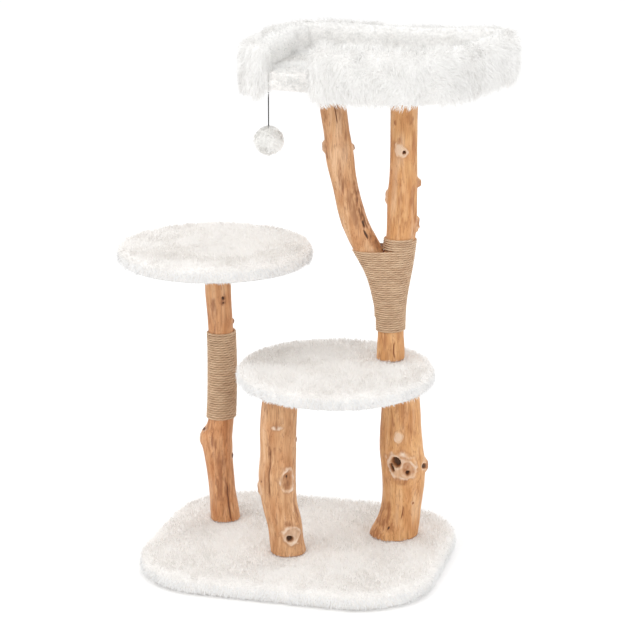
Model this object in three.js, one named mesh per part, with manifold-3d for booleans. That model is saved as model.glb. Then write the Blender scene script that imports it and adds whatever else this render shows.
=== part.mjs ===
// Cat tree: two round plush platforms and a walled bed on peeled branches, with a hanging toy.
// Millimetres, +Z up. The origin is on the floor, under the middle of the base.
// +X runs to the right and +Y to the back, seen from the front.

import * as THREE from 'three';
import { LoftGeometry } from 'three/addons/geometries/LoftGeometry.js';
import { mergeVertices } from 'three/addons/utils/BufferGeometryUtils.js';
import Module from 'manifold-3d';

const wasm = await Module();
wasm.setup();

// ---------------------------------------------------------------- driving dimensions

const GAP = 0.3; // clearance between pieces that touch
const TALL = 1000; // height of the whole tree

const BASE = {
	width: 570, depth: 484, corner: 150, height: 36, board: 18, backing: 2, boardInset: 11, soft: 9,
};
const PLATFORM = { radius: 187, thickness: 33, board: 15, boardRadius: 175, backing: 1.6, soft: 9 };
const MID = { x: 70, y: 4, top: 390 };
const LEFT = { x: -182, y: 54, top: 597 };
const BED = {
	x: 122, y: 108, wall: 58, underside: 912, board: 15, sheet: 1.6, pad: 16,
	boardInset: 12, // how far the board stays inside the bed's outline
	sheetInset: 4, // how far the underside sheet stays inside the board's edge
	lip: 6, // thickness of the pad's lip, which hides the board's edge in the gap
	skirt: 18, soft: 20, // how far the wall hangs below the board, and how round its edges are
	leftEnd: THREE.MathUtils.degToRad( 33 ), // how far round the front left corner the left wall runs
	frontEnd: - 87, // where the front wall ends, measured from the bed's origin
};
// The middle of the floor's edge in the gap, from the bed's origin, and which way that edge runs.
const DOOR = { x: - 132, y: - 150, turn: THREE.MathUtils.degToRad( - 9 ), width: 160, depth: 100 };
// The middles and radii of the bed's round corners, from its origin: front left, then counter-clockwise.
const BED_CORNERS = [
	{ x: - 102, y: - 67, radius: 140 },
	{ x: 58, y: - 67, radius: 140 },
	{ x: 163, y: 128, radius: 80 },
	{ x: - 102, y: 68, radius: 140 },
];
const ROPE = 4.4; // thickness of the sisal rope
const STUD = { radius: 4, bite: 42 }; // double-ended studs, and how deep they go into the wood
const EYE = { ring: 3, wire: 0.8, shank: 1.2, bite: 12, pocket: 6, sunk: 5 }; // the toy's screw eye
const TOY = { x: - 56, y: - 7, pompomHeight: 814, pompomRadius: 29, cordRadius: 1.2 };

// heights that follow from the sizes above
const baseTop = BASE.height + GAP;
const headUnder = ( platform ) => platform.top - PLATFORM.thickness - GAP;
const bedHead = BED.underside - GAP;
const bedBoardLow = BED.underside + BED.sheet + GAP;
const bedBoardHigh = bedBoardLow + BED.board;

// ---------------------------------------------------------------- materials

const plush = new THREE.MeshStandardMaterial( { color: 0xf4f4f2, roughness: 0.95 } );
const lining = new THREE.MeshStandardMaterial( { color: 0xd9d9d6, roughness: 0.9 } );
const wood = new THREE.MeshStandardMaterial( { color: 0xd79a5b, roughness: 0.6 } );
const chipboard = new THREE.MeshStandardMaterial( { color: 0xc8a878, roughness: 0.85 } );
const sisal = new THREE.MeshStandardMaterial( { color: 0xb89468, roughness: 0.95 } );
const steel = new THREE.MeshStandardMaterial( { color: 0xb4b6b8, roughness: 0.35, metalness: 1 } );
const cord = new THREE.MeshStandardMaterial( { color: 0x3c3c3e, roughness: 0.8 } );

// ---------------------------------------------------------------- solids and booleans

function toSolid( geometry ) {

	const bare = new THREE.BufferGeometry();
	bare.setAttribute( 'position', geometry.attributes.position );
	bare.setIndex( geometry.index );
	const merged = mergeVertices( bare, 1e-4 );
	return new wasm.Manifold( new wasm.Mesh( {
		numProp: 3,
		vertProperties: new Float32Array( merged.attributes.position.array ),
		triVerts: new Uint32Array( merged.index.array ),
	} ) );

}

function toGeometry( solid ) {

	const { vertProperties, triVerts, numProp } = solid.getMesh();
	const positions = new Float32Array( vertProperties.length / numProp * 3 );
	for ( let i = 0; i < positions.length / 3; i ++ ) {

		for ( let k = 0; k < 3; k ++ ) positions[ 3 * i + k ] = vertProperties[ numProp * i + k ];

	}

	const geometry = new THREE.BufferGeometry();
	geometry.setAttribute( 'position', new THREE.BufferAttribute( positions, 3 ) );
	geometry.setIndex( new THREE.BufferAttribute( new Uint32Array( triVerts ), 1 ) );
	geometry.computeVertexNormals();
	return geometry;

}

function cut( geometry, ...tools ) {

	const subtract = ( solid, tool ) => solid.subtract( toSolid( tool ) );
	return toGeometry( tools.reduce( subtract, toSolid( geometry ) ) );

}

function join( geometry, ...others ) {

	const unite = ( solid, other ) => solid.add( toSolid( other ) );
	return toGeometry( others.reduce( unite, toSolid( geometry ) ) );

}

// ---------------------------------------------------------------- basic shapes

// An upright round bar from one height to another.
function bar( x, y, radius, low, high, sides = 12 ) {

	return new THREE.CylinderGeometry( radius, radius, high - low, sides )
		.rotateX( Math.PI / 2 ).translate( x, y, ( low + high ) / 2 );

}

// A flat ring with a square section.
function ring( x, y, inner, outer, low, high, sides = 16 ) {

	const profile = [ [ inner, low ], [ outer, low ], [ outer, high ], [ inner, high ], [ inner, low ] ];
	return spin( x, y, profile, sides );

}

// A closed profile of [radius, height] points, turned about an upright axis.
function spin( x, y, profile, sides ) {

	const points = profile.map( ( [ radius, height ] ) => new THREE.Vector2( radius, height ) );
	return new THREE.LatheGeometry( points, sides ).rotateX( Math.PI / 2 ).translate( x, y, 0 );

}

function roundedRectangle( width, depth, corner ) {

	const [ a, b ] = [ width / 2 - corner, depth / 2 - corner ];
	const shape = new THREE.Shape();
	shape.absarc( a, b, corner, 0, Math.PI / 2 );
	shape.absarc( - a, b, corner, Math.PI / 2, Math.PI );
	shape.absarc( - a, - b, corner, Math.PI, 1.5 * Math.PI );
	shape.absarc( a, - b, corner, 1.5 * Math.PI, 2 * Math.PI );
	return shape;

}

// A flat slab between two heights. A soft one has rounded edges, and its outline stays the widest line.
function slab( shape, low, high, soft = 0, curveSegments = 6 ) {

	return new THREE.ExtrudeGeometry( shape, {
		depth: high - low - 2 * soft, curveSegments, bevelEnabled: soft > 0, bevelThickness: soft,
		bevelSize: soft, bevelOffset: - soft, bevelSegments: 2,
	} ).translate( 0, 0, low + soft );

}

// ---------------------------------------------------------------- logs and rope wraps

// Each log follows its stations, [height, x, y, radius], from its foot to its head.
const LEFT_POST = {
	stations: [
		[ baseTop, - 172, 71, 28.5 ], [ 93, - 177, 69, 25.8 ], [ 135, - 181, 68, 26.6 ],
		[ 180, - 185, 67, 28.6 ], [ 215, - 183, 67, 28.6 ], [ 243, - 178, 69, 25.4 ],
		[ 330, - 175, 70, 25.2 ], [ 422, - 176, 70, 24.6 ], [ 504, - 181, 68, 25 ],
		[ headUnder( LEFT ), - 181, 68, 25.4 ],
	],
	knots: [ { height: 206, side: 180, rise: 15, spread: 13 } ],
};
const FRONT_LOG = {
	stations: [
		[ baseTop, - 3, - 65, 34.5 ], [ 60, - 8, - 66, 31.6 ], [ 97, - 12, - 67, 33 ],
		[ 138, - 21, - 69, 33.4 ], [ 188, - 24, - 70, 35.4 ], [ 237, - 22, - 69, 34.2 ],
		[ 300, - 22, - 70, 34.8 ], [ headUnder( MID ), - 16, - 69, 32.8 ],
	],
	knots: [
		{ height: 92, side: - 50, rise: 5, spread: 16 },
		{ height: 190, side: - 70, rise: 4, spread: 18 },
	],
};
const RIGHT_LOG = {
	stations: [
		[ baseTop, 166, 76, 48 ], [ 54, 173, 78, 44 ], [ 75, 179, 79, 40.2 ], [ 104, 183, 81, 38.4 ],
		[ 145, 185, 81, 40.5 ], [ 200, 182, 80, 42.4 ], [ 246, 179, 79, 40.2 ],
		[ 296, 179, 79, 37.8 ], [ headUnder( MID ), 176, 79, 37 ],
	],
	knots: [ { height: 176, side: - 15, rise: 9, spread: 17 } ],
};
const TRUNK = {
	stations: [
		[ MID.top + GAP, 158, 76, 27.2 ], [ 420, 158, 76, 26.4 ], [ 446, 158, 76, 24.4 ],
		[ 494, 158, 76, 25.6 ], [ 533, 162, 77, 26.6 ], [ 571, 168, 79, 27 ], [ 626, 174, 81, 27.6 ],
		[ 668, 176, 81, 28 ], [ 725, 178, 82, 26.9 ], [ 800, 178, 82, 25.2 ], [ bedHead, 178, 82, 26 ],
	],
	knots: [
		{ height: 660, side: 0, rise: 6, spread: 11 },
		{ height: 708, side: 180, rise: 5, spread: 10 },
	],
};
const BRANCH = {
	stations: [
		[ 486, 155, 75, 24 ], [ 523, 148, 73, 25 ], [ 552, 140, 71, 26 ], [ 577, 128, 68, 26.5 ],
		[ 604, 112, 64, 27 ], [ 639, 97, 60, 27 ], [ 668, 87, 57, 25.6 ], [ 725, 74, 53, 25.1 ],
		[ 772, 65, 51, 25.8 ], [ 819, 59, 50, 24 ], [ 868, 52, 48, 24.6 ], [ bedHead, 45, 46, 25 ],
	],
	knots: [
		{ height: 795, side: 0, rise: 5, spread: 9 },
		{ height: 797, side: 180, rise: 4, spread: 9 },
		{ height: 608, side: 15, rise: 9, spread: 15 }, // the web between the branch and the trunk
	],
};

function axisOf( log ) {

	const points = log.stations.map( ( [ z, x, y ] ) => new THREE.Vector3( x, y, z ) );
	const girths = log.stations.map( ( station, i ) => new THREE.Vector2( i, station[ 3 ] ) );
	const centre = new THREE.CatmullRomCurve3( points, false, 'catmullrom' );
	const girth = new THREE.SplineCurve( girths );
	return ( t ) => ( { centre: centre.getPoint( t ), radius: girth.getPoint( t ).y } );

}

// The log's centre and radius at a height, found by halving.
function atHeight( log, height ) {

	const axis = axisOf( log );
	let [ low, high ] = [ 0, 1 ];
	for ( let i = 0; i < 30; i ++ ) {

		const middle = ( low + high ) / 2;
		if ( axis( middle ).centre.z < height ) low = middle;
		else high = middle;

	}

	return axis( low );

}

// A log is a stack of level rings, a little out of round, with soft bumps where side branches were.
function logGeometry( log, grow = 0, sides = 14, rings = 17 ) {

	const axis = axisOf( log );
	const sections = [];
	for ( let i = 0; i <= rings; i ++ ) {

		const { centre, radius } = axis( i / rings );
		const section = [];
		for ( let j = 0; j < sides; j ++ ) {

			const angle = 2 * Math.PI * j / sides;
			const oval = 0.6 * Math.sin( 2 * angle + centre.z / 70 );
			const lobes = 0.5 * Math.sin( 3 * angle - centre.z / 50 );
			const bumps = log.knots.map( ( knot ) => bump( knot, angle, centre.z, radius ) );
			const reach = bumps.reduce( ( sum, value ) => sum + value, radius + oval + lobes + grow );
			const out = new THREE.Vector3( Math.cos( angle ), Math.sin( angle ), 0 );
			section.push( out.multiplyScalar( reach ).add( centre ) );

		}

		sections.push( section );

	}

	return new LoftGeometry( sections, { capStart: true, capEnd: true } );

}

function bump( knot, angle, height, radius ) {

	const turned = angle - THREE.MathUtils.degToRad( knot.side );
	const around = Math.atan2( Math.sin( turned ), Math.cos( turned ) ) * radius;
	const away = Math.hypot( around, height - knot.height ) / knot.spread;
	return knot.rise * Math.exp( - away * away );

}

// The outline of a rope pulled tight round one or more logs at a height.
function ropeOutline( logs, height, sides = 18 ) {

	const circles = logs.map( ( log ) => atHeight( log, height ) );
	const outline = [];
	for ( let j = 0; j < sides; j ++ ) {

		const angle = 2 * Math.PI * ( j + 0.5 ) / sides;
		const out = new THREE.Vector3( Math.cos( angle ), Math.sin( angle ), 0 );
		const reaches = circles.map( ( { centre, radius } ) => centre.dot( out ) + radius );
		const { centre, radius } = circles[ reaches.indexOf( Math.max( ...reaches ) ) ];
		outline.push( new THREE.Vector3( centre.x, centre.y, height ).addScaledVector( out, radius + ROPE ) );

	}

	return outline;

}

function wrapGeometry( logs, low, high, rings ) {

	const heights = Array.from( { length: rings + 1 }, ( _, i ) => low + ( high - low ) * i / rings );
	const sections = heights.map( ( height ) => ropeOutline( logs, height ) );
	return new LoftGeometry( sections, { capStart: true, capEnd: true } );

}

// ---------------------------------------------------------------- places of the fixings

const POST_BOLTS = { left: [ - 174, 70 ], front: [ - 6, - 66 ], right: [ 171, 78 ] };
const LEFT_STUD = [ - 181, 68 ];
const FRONT_STUD = [ - 16, - 69 ];
const TRUNK_STUD = [ 167, 77 ];
const BED_STUDS = { branch: [ 45, 46 ], trunk: [ 178, 82 ] };
const HEAD = { radius: 7, height: 7 }; // bolt heads
const WASHER = { inner: 4.6, outer: 11, height: 1.6 };
const T_NUT = { flange: 10, height: 1.6, barrel: 5.6, depth: 9 };

const pilot = ( [ x, y ], low, high ) => bar( x, y, STUD.radius + GAP, low, high );

// ---------------------------------------------------------------- sub-parts

const tree = new THREE.Group();

function add( name, geometry, material, parent = tree ) {

	const mesh = new THREE.Mesh( geometry, material );
	mesh.name = name;
	parent.add( mesh );
	return mesh;

}

// The base: a board wrapped in plush, with a backing sheet stuck on below.
const boardWidth = BASE.width - 2 * BASE.boardInset;
const boardDepth = BASE.depth - 2 * BASE.boardInset;
const boardCorner = BASE.corner - BASE.boardInset;
const boardLow = BASE.backing + GAP;
const boardHigh = boardLow + BASE.board;
const headPocket = HEAD.height + WASHER.height + 3 * GAP;

function buildBase() {

	const boardShape = roundedRectangle( boardWidth, boardDepth, boardCorner );
	const bolts = Object.values( POST_BOLTS );
	const shanks = bolts.map( ( spot ) => pilot( spot, - 1, BASE.height + 1 ) );
	const heads = bolts.map( ( [ x, y ] ) => bar( x, y, WASHER.outer + 1, - 1, boardLow + headPocket ) );
	const pocketShape = roundedRectangle( boardWidth + 2 * GAP, boardDepth + 2 * GAP, boardCorner + GAP );
	const cover = slab( roundedRectangle( BASE.width, BASE.depth, BASE.corner ), 0, BASE.height, BASE.soft );

	add( 'base_backing', cut( slab( boardShape, 0, BASE.backing ), ...heads ), lining );
	add( 'base_board', cut( slab( boardShape, boardLow, boardHigh ), ...heads, ...shanks ), chipboard );
	add( 'base_cover', cut( cover, slab( pocketShape, - 1, boardHigh + GAP ), ...shanks ), plush );

}

// A bolt with its washer, pushed up through the base into a post.
function buildPostBolt( post, [ x, y ] ) {

	const seat = boardLow + headPocket - GAP;
	const washerLow = seat - WASHER.height;
	const headHigh = washerLow - GAP;
	const socket = bar( x, y, 3.4, headHigh - HEAD.height - 1, headHigh - 3, 6 );
	const head = bar( x, y, HEAD.radius, headHigh - HEAD.height, headHigh );
	const shank = bar( x, y, STUD.radius, headHigh - 1, baseTop + STUD.bite );
	add( `${ post }_post_washer`, ring( x, y, WASHER.inner, WASHER.outer, washerLow, seat ), steel );
	add( `${ post }_post_bolt`, cut( join( head, shank ), socket ), steel );

}

// A T-nut sunk flush into a board's top.
function buildNut( name, [ x, y ], top ) {

	const bore = STUD.radius + GAP;
	const low = top - T_NUT.depth;
	const under = top - T_NUT.height;
	const profile = [
		[ bore, low ], [ T_NUT.barrel, low ], [ T_NUT.barrel, under ], [ T_NUT.flange, under ],
		[ T_NUT.flange, top ], [ bore, top ], [ bore, low ],
	];
	return add( name, spin( x, y, profile, 16 ), steel );

}

// The stepped hole that a T-nut sits in.
function nutHoles( [ x, y ], low, top ) {

	return [
		bar( x, y, T_NUT.barrel + GAP, low - 1, top + 1, 16 ),
		bar( x, y, T_NUT.flange + GAP, top - T_NUT.height - GAP, top + 1, 16 ),
	];

}

// A round platform: a board under a plush cover, closed below by a thin backing sheet.
function buildPlatform( name, { x, y, top }, { nutsAt, throughAt } ) {

	const { radius, thickness, board, boardRadius, backing, soft } = PLATFORM;
	const low = top - thickness;
	const boardStart = low + backing + GAP;
	const boardTop = boardStart + board;
	const pocket = boardRadius + GAP;
	const shoulder = 0.3 * soft;
	const coverProfile = [
		[ 0, boardTop + GAP ], [ pocket, boardTop + GAP ], [ pocket, low ], [ radius - shoulder, low ],
		[ radius, low + soft ], [ radius, top - soft ], [ radius - shoulder, top - shoulder ],
		[ radius - soft, top ], [ 0, top ],
	];
	const holes = throughAt.map( ( spot ) => pilot( spot, low - 1, top + 1 ) );
	const studHoles = nutsAt.map( ( spot ) => pilot( spot, low - 1, boardStart ) );
	const nutSpots = nutsAt.flatMap( ( spot ) => nutHoles( spot, boardStart, boardTop ) );
	const cover = spin( x, y, coverProfile, 40 );
	const disc = bar( x, y, boardRadius, boardStart, boardTop, 40 );
	const sheet = bar( x, y, boardRadius, low, low + backing, 40 );
	add( `${ name }_platform_backing`, cut( sheet, ...holes, ...studHoles ), lining );
	add( `${ name }_platform_board`, cut( disc, ...holes, ...nutSpots ), chipboard );
	add( `${ name }_platform_cover`, holes.length ? cut( cover, ...holes ) : cover, plush );
	nutsAt.forEach( ( spot ) => buildNut( `${ name }_platform_nut`, spot, boardTop ) );
	return boardTop;

}

// A double-ended stud between a post's head and the board on it.
function buildStud( name, [ x, y ], low, high ) {

	add( name, bar( x, y, STUD.radius, low, high ), steel );

}

function buildLeftPost() {

	const low = 243;
	const high = 424;
	const head = headUnder( LEFT );
	const boltHole = pilot( POST_BOLTS.left, baseTop - 1, baseTop + STUD.bite + GAP );
	const studHole = pilot( LEFT_STUD, head - STUD.bite - GAP, head + 1 );
	add( 'left_post', cut( logGeometry( LEFT_POST ), boltHole, studHole ), wood );
	const wrap = wrapGeometry( [ LEFT_POST ], low, high, 5 );
	add( 'left_post_rope', cut( wrap, logGeometry( LEFT_POST, GAP ) ), sisal );
	buildPostBolt( 'left', POST_BOLTS.left );
	const boardTop = buildPlatform( 'left', LEFT, { nutsAt: [ LEFT_STUD ], throughAt: [] } );
	buildStud( 'left_platform_stud', LEFT_STUD, head - STUD.bite, boardTop - GAP );

}

function buildShortLogs() {

	const head = headUnder( MID );
	const boltEnd = baseTop + STUD.bite + GAP;
	const studStart = head - STUD.bite - GAP;
	const boltHole = ( bolt ) => pilot( bolt, baseTop - 1, boltEnd );
	const studHole = ( stud ) => pilot( stud, studStart, head + 1 );
	const drilled = ( log, bolt, stud ) => cut( logGeometry( log ), boltHole( bolt ), studHole( stud ) );
	add( 'front_log', drilled( FRONT_LOG, POST_BOLTS.front, FRONT_STUD ), wood );
	add( 'right_log', drilled( RIGHT_LOG, POST_BOLTS.right, TRUNK_STUD ), wood );
	buildPostBolt( 'front', POST_BOLTS.front );
	buildPostBolt( 'right', POST_BOLTS.right );
	const boardTop = buildPlatform( 'middle', MID, { nutsAt: [ FRONT_STUD ], throughAt: [ TRUNK_STUD ] } );
	buildStud( 'middle_platform_stud', FRONT_STUD, head - STUD.bite, boardTop - GAP );
	buildStud( 'trunk_stud', TRUNK_STUD, head - STUD.bite, MID.top + STUD.bite );

}

// The fork: the branch's foot is cut to lie against the trunk, and two screws hold it there.
const FORK_SCREWS = [ { height: 545, length: 52 }, { height: 580, length: 62 } ];
const SCREW = { radius: 2.2, headRadius: 4.4, headHeight: 3, recess: 5, aside: 4 };

function screwAt( { height, length }, extra ) {

	const { centre, radius } = atHeight( BRANCH, height );
	const start = centre.x - radius + SCREW.recess;
	const along = ( r, from, to ) => new THREE.CylinderGeometry( r, r, to - from, 12 )
		.rotateZ( Math.PI / 2 ).translate( ( from + to ) / 2, centre.y + SCREW.aside, height );
	const shank = along( SCREW.radius + extra, start, start + length + extra );
	const outward = extra > 0 ? 20 : 0; // a hole runs on out of the branch's side
	const head = along( SCREW.headRadius + extra, start - outward, start + SCREW.headHeight + extra );
	return join( shank, head );

}

function buildFork() {

	const crotch = 604;
	const branchStart = 471;
	const wrapLow = 443;
	const wrapHigh = 627;
	const screwHoles = FORK_SCREWS.map( ( screw ) => screwAt( screw, GAP ) );
	const trunkHoles = [
		pilot( TRUNK_STUD, MID.top - 1, MID.top + STUD.bite + GAP ),
		pilot( BED_STUDS.trunk, bedHead - STUD.bite - GAP, bedHead + 1 ),
	];
	const branchHole = pilot( BED_STUDS.branch, bedHead - STUD.bite - GAP, bedHead + 1 );
	const grownTrunk = logGeometry( TRUNK, GAP );
	const lowWrap = wrapGeometry( [ TRUNK, BRANCH ], branchStart, crotch, 7 );
	const footWrap = wrapGeometry( [ TRUNK ], wrapLow, branchStart + 1, 2 );
	const trunkWraps = join( footWrap, wrapGeometry( [ TRUNK ], crotch - 6, wrapHigh, 2 ) );
	add( 'trunk', cut( logGeometry( TRUNK ), ...trunkHoles, ...screwHoles ), wood );
	add( 'branch', cut( logGeometry( BRANCH ), grownTrunk, branchHole, ...screwHoles ), wood );
	add( 'fork_rope', cut( join( lowWrap, trunkWraps ), grownTrunk, logGeometry( BRANCH, GAP ) ), sisal );
	FORK_SCREWS.forEach( ( screw, i ) => add( `fork_screw_${ i + 1 }`, screwAt( screw, 0 ), steel ) );

}

// The bed is built in a group of its own, with its own origin.
const bed = new THREE.Group();
bed.position.set( BED.x, BED.y, 0 );
tree.add( bed );

const inBed = ( [ x, y ] ) => [ x - BED.x, y - BED.y ];

// The direction that the straight side between two round corners faces.
function facing( first, second ) {

	const along = new THREE.Vector2( second.x - first.x, second.y - first.y );
	return along.angle() - Math.acos( ( first.radius - second.radius ) / along.length() );

}

// The corners moved in by an inset, each with the directions between which it turns.
function bedCorners( inset ) {

	return BED_CORNERS.map( ( corner, i ) => {

		const before = BED_CORNERS[ ( i + BED_CORNERS.length - 1 ) % BED_CORNERS.length ];
		const after = BED_CORNERS[ ( i + 1 ) % BED_CORNERS.length ];
		const [ from, to ] = [ facing( before, corner ), facing( corner, after ) ];
		return { ...corner, radius: corner.radius - inset, from, to };

	} );

}

function bedOutline( inset ) {

	const shape = new THREE.Shape();
	const turn = ( { x, y, radius, from, to } ) => shape.absarc( x, y, radius, from, to, false );
	bedCorners( inset ).forEach( turn );
	return shape;

}

// The wall seen from above: from its end at the front left corner, round the back, to the gap in the front.
function bedWallShape( grow = 0 ) {

	const [ frontLeft, ...others ] = bedCorners( - grow );
	const [ innerFrontLeft, ...innerOthers ] = bedCorners( BED.wall + grow );
	const half = BED.wall / 2;
	const end = Math.PI + BED.leftEnd;
	const middle = frontLeft.radius - grow - half;
	const endX = frontLeft.x + middle * Math.cos( end );
	const endY = frontLeft.y + middle * Math.sin( end );
	const frontY = frontLeft.y - middle;
	const shape = new THREE.Shape();
	const turn = ( { x, y, radius }, from, to, clockwise ) => shape.absarc( x, y, radius, from, to, clockwise );
	turn( frontLeft, end, Math.PI, true );
	others.reverse().forEach( ( corner ) => turn( corner, corner.to, corner.from, true ) );
	shape.absarc( BED.frontEnd + half, frontY, half + grow, 1.5 * Math.PI, Math.PI / 2, true );
	innerOthers.forEach( ( corner ) => turn( corner, corner.from, corner.to, false ) );
	turn( innerFrontLeft, Math.PI, end, false );
	shape.absarc( endX, endY, half + grow, BED.leftEnd, end - 2 * Math.PI, true );
	return shape;

}

// A block that cuts the floor off along its edge in the gap, or a little further back.
function doorBlock( back ) {

	return new THREE.BoxGeometry( DOOR.width, DOOR.depth, 2 * BED.wall )
		.translate( 0, back - DOOR.depth / 2, BED.underside )
		.rotateZ( DOOR.turn ).translate( DOOR.x, DOOR.y, 0 );

}

function buildBed() {

	const outline = ( grow ) => bedOutline( BED.boardInset - grow );
	const studs = Object.values( BED_STUDS ).map( inBed );
	const [ toyX, toyY ] = inBed( [ TOY.x, TOY.y ] );
	const eyePocket = bar( toyX, toyY, EYE.pocket, BED.underside - 1, bedBoardLow + EYE.sunk );
	const eyeHole = bar( toyX, toyY, EYE.shank + GAP, BED.underside, bedBoardLow + EYE.bite + GAP, 10 );
	const studHoles = studs.map( ( spot ) => pilot( spot, BED.underside - 1, bedBoardLow ) );
	const nutSpots = studs.flatMap( ( spot ) => nutHoles( spot, bedBoardLow, bedBoardHigh ) );
	const board = slab( outline( 0 ), bedBoardLow, bedBoardHigh, 0, 6 );
	const boardFront = doorBlock( BED.lip + GAP );
	const sheet = slab( outline( - BED.sheetInset ), BED.underside, BED.underside + BED.sheet, 0, 6 );
	const sheetFront = doorBlock( BED.lip + BED.sheetInset );
	const floor = bedBoardHigh + GAP;
	const wall = slab( bedWallShape(), BED.underside - BED.skirt, TALL, BED.soft, 6 );
	const boardSlot = slab( outline( GAP ), BED.underside - BED.skirt - 1, floor, 0, 6 );
	const boardSpace = cut( boardSlot, doorBlock( BED.lip ) );
	// the pad fills the floor between the walls, and its lip turns down over the board's edge in the gap
	const padTop = floor + BED.pad;
	const pad = slab( outline( 0 ), BED.underside, padTop, 0, 6 );
	const wallSpace = slab( bedWallShape( GAP ), BED.underside - 1, padTop + 1, 0, 6 );

	add( 'bed_board', cut( board, boardFront, ...nutSpots, eyePocket, eyeHole ), chipboard, bed );
	add( 'bed_underside', cut( sheet, sheetFront, ...studHoles, eyePocket ), lining, bed );
	add( 'bed_pad', cut( pad, boardSpace, wallSpace, doorBlock( 0 ) ), plush, bed );
	add( 'bed_wall', cut( wall, boardSpace ), plush, bed );
	Object.entries( BED_STUDS ).forEach( ( [ post, spot ] ) => {

		buildStud( `${ post }_bed_stud`, spot, bedHead - STUD.bite, bedBoardHigh - GAP );
		buildNut( `${ post }_bed_nut`, spot, bedBoardHigh );

	} );

}

// The toy hangs from a screw eye: eye, wire loop, knot, cord and pompom, each hanging in the one above.
function buildToy() {

	const { x, y, pompomHeight, pompomRadius, cordRadius } = TOY;
	const eye = { ring: EYE.ring, wire: EYE.wire, height: BED.underside - 1 };
	const loop = { ring: 2.6, wire: 0.7 };
	const ringOf = ( { ring: size, wire } ) => new THREE.TorusGeometry( size, wire, 6, 14 );
	const loopHeight = eye.height - eye.ring + eye.wire + GAP + loop.wire - loop.ring;
	const knotRadius = 1.7;
	const knotHeight = loopHeight - loop.ring - loop.wire - GAP - knotRadius;
	const pompomTop = pompomHeight + pompomRadius;
	const cordSection = new THREE.Shape().absarc( 0, 0, cordRadius, 0, 2 * Math.PI );
	const cordTop = new THREE.Vector3( x, y, knotHeight - knotRadius - GAP );
	const cordLine = new THREE.LineCurve3( cordTop, new THREE.Vector3( x, y, pompomTop + GAP ) );
	const drawn = { curveSegments: 4, steps: 8, extrudePath: cordLine };

	const eyeRing = ringOf( eye ).rotateX( Math.PI / 2 ).translate( x, y, eye.height );
	const eyeShank = bar( x, y, EYE.shank, eye.height + eye.ring, bedBoardLow + EYE.bite, 10 );
	add( 'toy_screw_eye', join( eyeRing, eyeShank ), steel );
	add( 'toy_loop', ringOf( loop ).rotateY( Math.PI / 2 ).translate( x, y, loopHeight ), steel );
	add( 'toy_knot', new THREE.SphereGeometry( knotRadius, 10, 6 ).translate( x, y, knotHeight ), cord );
	add( 'toy_cord', new THREE.ExtrudeGeometry( cordSection, drawn ), cord );
	add( 'toy_pompom', new THREE.SphereGeometry( pompomRadius, 16, 10 ).translate( x, y, pompomHeight ), plush );

}

buildBase();
buildLeftPost();
buildShortLogs();
buildFork();
buildBed();
buildToy();

export default tree;
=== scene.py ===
# Looks of the cat tree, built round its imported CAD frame. Metres, +Z up, the same frame as the CAD.

import itertools
import math

import bpy
import numpy as np
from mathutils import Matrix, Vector
from mathutils.bvhtree import BVHTree
from mathutils.kdtree import KDTree


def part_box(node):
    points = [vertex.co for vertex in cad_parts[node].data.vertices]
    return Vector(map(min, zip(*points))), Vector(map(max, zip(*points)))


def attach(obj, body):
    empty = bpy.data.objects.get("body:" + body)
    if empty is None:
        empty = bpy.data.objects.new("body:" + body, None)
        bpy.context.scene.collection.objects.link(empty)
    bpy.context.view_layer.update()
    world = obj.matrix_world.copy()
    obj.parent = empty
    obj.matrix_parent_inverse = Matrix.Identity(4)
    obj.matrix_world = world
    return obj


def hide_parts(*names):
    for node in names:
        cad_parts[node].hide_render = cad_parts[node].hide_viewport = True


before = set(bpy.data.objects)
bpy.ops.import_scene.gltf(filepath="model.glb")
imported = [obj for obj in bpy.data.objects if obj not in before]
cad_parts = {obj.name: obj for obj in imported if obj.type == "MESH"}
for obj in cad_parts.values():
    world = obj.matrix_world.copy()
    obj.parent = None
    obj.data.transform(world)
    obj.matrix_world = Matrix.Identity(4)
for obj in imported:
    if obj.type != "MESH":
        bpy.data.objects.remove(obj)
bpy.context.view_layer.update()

MM = 0.001
UP = np.array([0.0, 0.0, 1.0])
FRONT = -75  # the plan angle, in degrees, of the side that faces the camera
BASE_CORNER = 0.150


# ---------------------------------------------------------------- small tools

def link(piece):
    bpy.context.scene.collection.objects.link(piece)
    return piece


def mesh_object(name, points, faces, material, smooth=True):
    mesh = bpy.data.meshes.new(name)
    mesh.from_pydata(np.asarray(points).tolist(), [], [list(face) for face in faces])
    mesh.polygons.foreach_set("use_smooth", [smooth] * len(mesh.polygons))
    mesh.materials.append(material)
    mesh.update()
    return link(bpy.data.objects.new(name, mesh))


def unit(vectors):
    return vectors / np.maximum(np.linalg.norm(vectors, axis=-1, keepdims=True), 1e-9)


def fade(value, low, high):
    """0 below low, 1 above high, and smooth between."""
    part = np.clip((value - low) / (high - low), 0, 1)
    return part * part * (3 - 2 * part)


def lattice_noise(points, cell, seed):
    """Seeded smooth noise from -1 to 1. cell is the size of a blotch along x, y and z."""
    table = np.random.default_rng(seed).uniform(-1, 1, 4096)
    place = np.asarray(points) / np.asarray(cell)
    corner = np.floor(place).astype(int)
    part = place - corner
    ease = part * part * (3 - 2 * part)
    total = np.zeros(len(place))
    for step in itertools.product((0, 1), repeat=3):
        at = corner + step
        spot = (at[:, 0] * 73 + at[:, 1] * 179 + at[:, 2] * 283) % len(table)
        total += np.prod(np.where(step, ease, 1 - ease), axis=1) * table[spot]
    return total


def along_surface(vectors, normals):
    """The part of each vector that lies in the surface."""
    return vectors - normals * np.sum(vectors * normals, axis=1)[:, None]


def noise_field(points, cell, seed):
    """Three noises side by side: a smooth random direction at each point."""
    return np.stack([lattice_noise(points, cell, seed + axis) for axis in range(3)], axis=1)


def coordinates(mesh):
    flat = np.empty(len(mesh.vertices) * 3)
    mesh.vertices.foreach_get("co", flat)
    return flat.reshape(-1, 3)


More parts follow.
